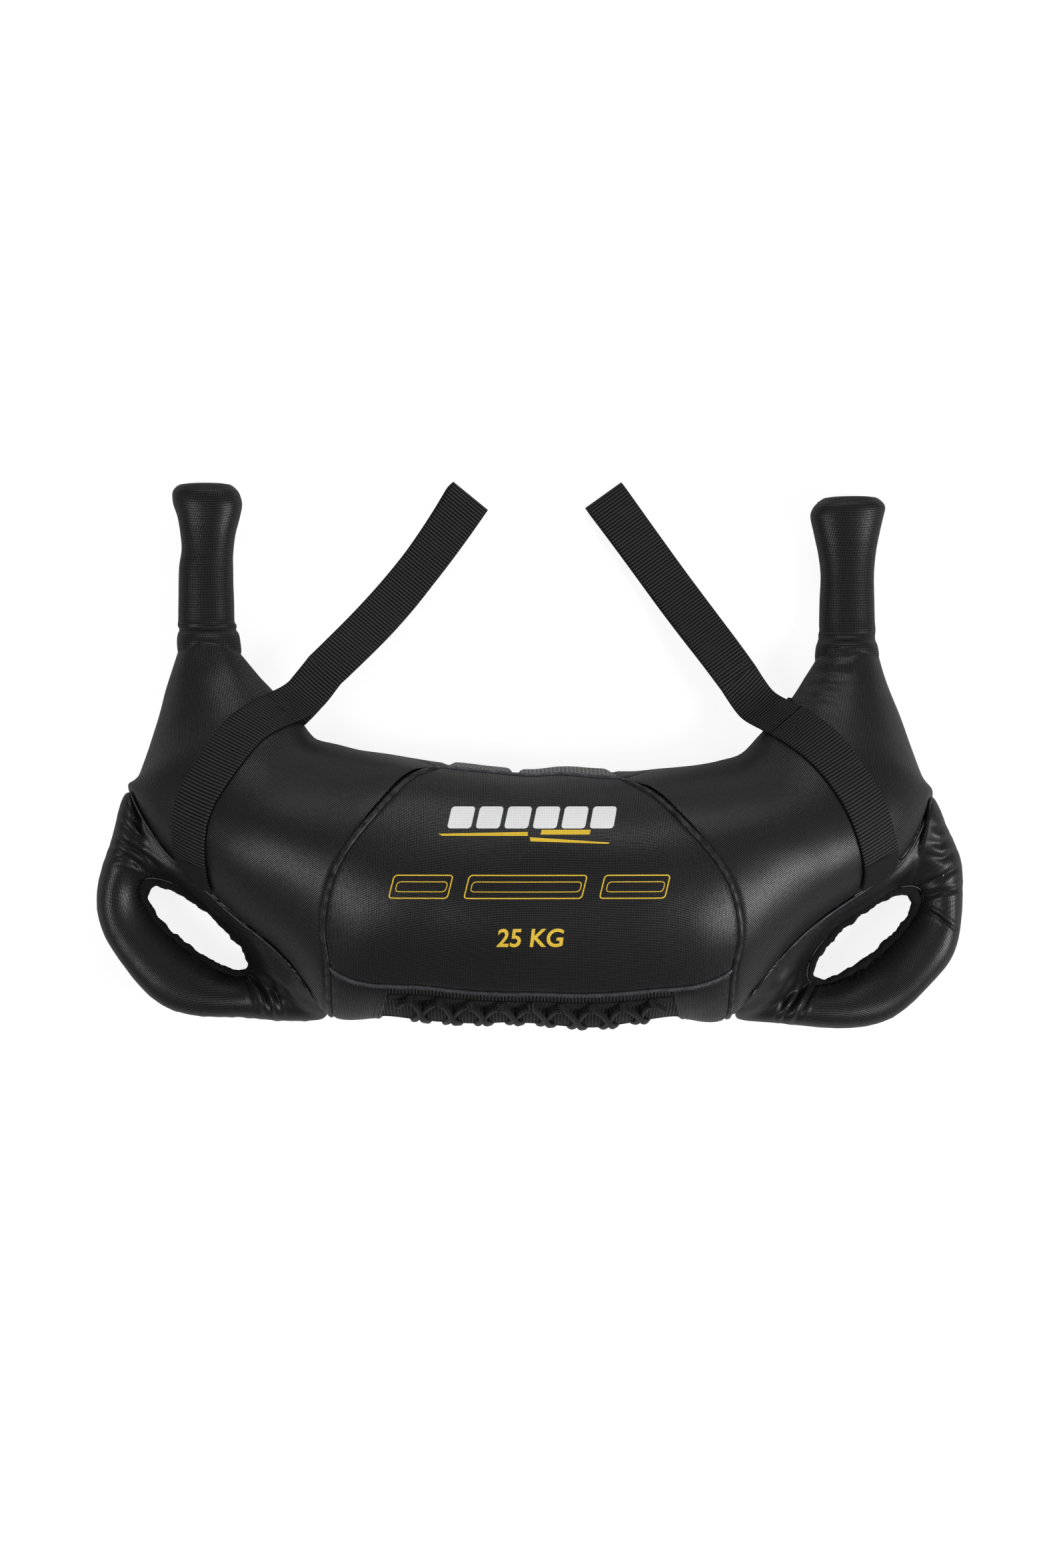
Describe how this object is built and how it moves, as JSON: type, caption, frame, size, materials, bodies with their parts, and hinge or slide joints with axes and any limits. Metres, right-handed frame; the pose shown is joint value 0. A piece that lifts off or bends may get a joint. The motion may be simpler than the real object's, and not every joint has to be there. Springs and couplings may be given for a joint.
{
  "type": "bulgarian bag",
  "caption": "Crescent training bag lying on its back, with upright horn grips, webbing loops, padded corner handles and a laced placket along its bottom edge.",
  "frame": {"origin": "centre of the bounding box in X and Y, at the level the bag lies on", "axes": "+Z out of the bag's front, +Y from the laced bottom edge towards the horns, +X to the right seen from the front"},
  "size_m": [0.7854, 0.4976, 0.185],
  "materials": {
    "leatherette": "satin",
    "ribbed_insert": "matte",
    "webbing": "matte",
    "binding": "matte",
    "spacer_mesh": "matte",
    "cord": "matte",
    "lining": "matte",
    "wadding": "matte",
    "sand_pouch": "matte"
  },
  "bodies": {
    "bag": {"front_left_panel": "leatherette", "front_centre_panel": "leatherette", "front_right_panel": "leatherette", "rear_left_panel": "leatherette", "rear_right_panel": "leatherette", "rear_mesh_pad": "spacer_mesh", "left_placket_end": "leatherette", "right_placket_end": "leatherette", "front_lace_flap": "ribbed_insert", "rear_lace_flap": "ribbed_insert", "lace_tongue": "ribbed_insert", "inner_liner": "lining", "front_wadding": "wadding", "rear_wadding": "wadding", "sand_pouch_left": "sand_pouch", "sand_pouch_centre": "sand_pouch", "sand_pouch_right": "sand_pouch", "left_centre_welt": "leatherette", "right_centre_welt": "leatherette", "top_welt": "leatherette", "bottom_welt": "leatherette", "lace": "cord", "front_loop_tape": "webbing", "rear_loop_tape": "webbing", "left_corner_cover": "leatherette", "left_corner_core": "wadding", "left_hole_binding": "binding", "left_corner_piping": "leatherette", "left_neck_closure": "lining", "left_strap_front_leg": "webbing", "left_strap_rear_leg": "webbing", "right_corner_cover": "leatherette", "right_corner_core": "wadding", "right_hole_binding": "binding", "right_corner_piping": "leatherette", "right_neck_closure": "lining", "right_strap_front_leg": "webbing", "right_strap_rear_leg": "webbing"},
    "left_collar": {"left_horn_collar": "leatherette"},
    "left_grip": {"left_horn_cover": "leatherette", "left_horn_core": "wadding", "left_horn_cap": "leatherette"},
    "left_strap": {"left_strap_loop": "webbing"},
    "right_collar": {"right_horn_collar": "leatherette"},
    "right_grip": {"right_horn_cover": "leatherette", "right_horn_core": "wadding", "right_horn_cap": "leatherette"},
    "right_strap": {"right_strap_loop": "webbing"}
  },
  "joints": [
    {"name": "left_horn_fold", "type": "hinge", "parent": "bag", "child": "left_collar", "pos_m": [-0.29191, 0.11413, 0.0216], "axis": [1, 0, 0], "range_deg": [0, 75]},
    {"name": "left_horn_sway", "type": "hinge", "parent": "left_collar", "child": "left_grip", "pos_m": [-0.29191, 0.11413, 0.0216], "axis": [0, 0, 1], "range_deg": [-30, 30]},
    {"name": "left_strap_swing", "type": "hinge", "parent": "bag", "child": "left_strap", "pos_m": [-0.1855, 0.0774, 0.044], "axis": [0.7749, -0.632, 0], "range_deg": [0, 110]},
    {"name": "right_horn_fold", "type": "hinge", "parent": "bag", "child": "right_collar", "pos_m": [0.28832, 0.11045, 0.0216], "axis": [1, 0, 0], "range_deg": [0, 75]},
    {"name": "right_horn_sway", "type": "hinge", "parent": "right_collar", "child": "right_grip", "pos_m": [0.28832, 0.11045, 0.0216], "axis": [0, 0, 1], "range_deg": [-30, 30]},
    {"name": "right_strap_swing", "type": "hinge", "parent": "bag", "child": "right_strap", "pos_m": [0.188, 0.0704, 0.044], "axis": [0.8131, 0.5821, 0], "range_deg": [0, 110]}
  ]
}
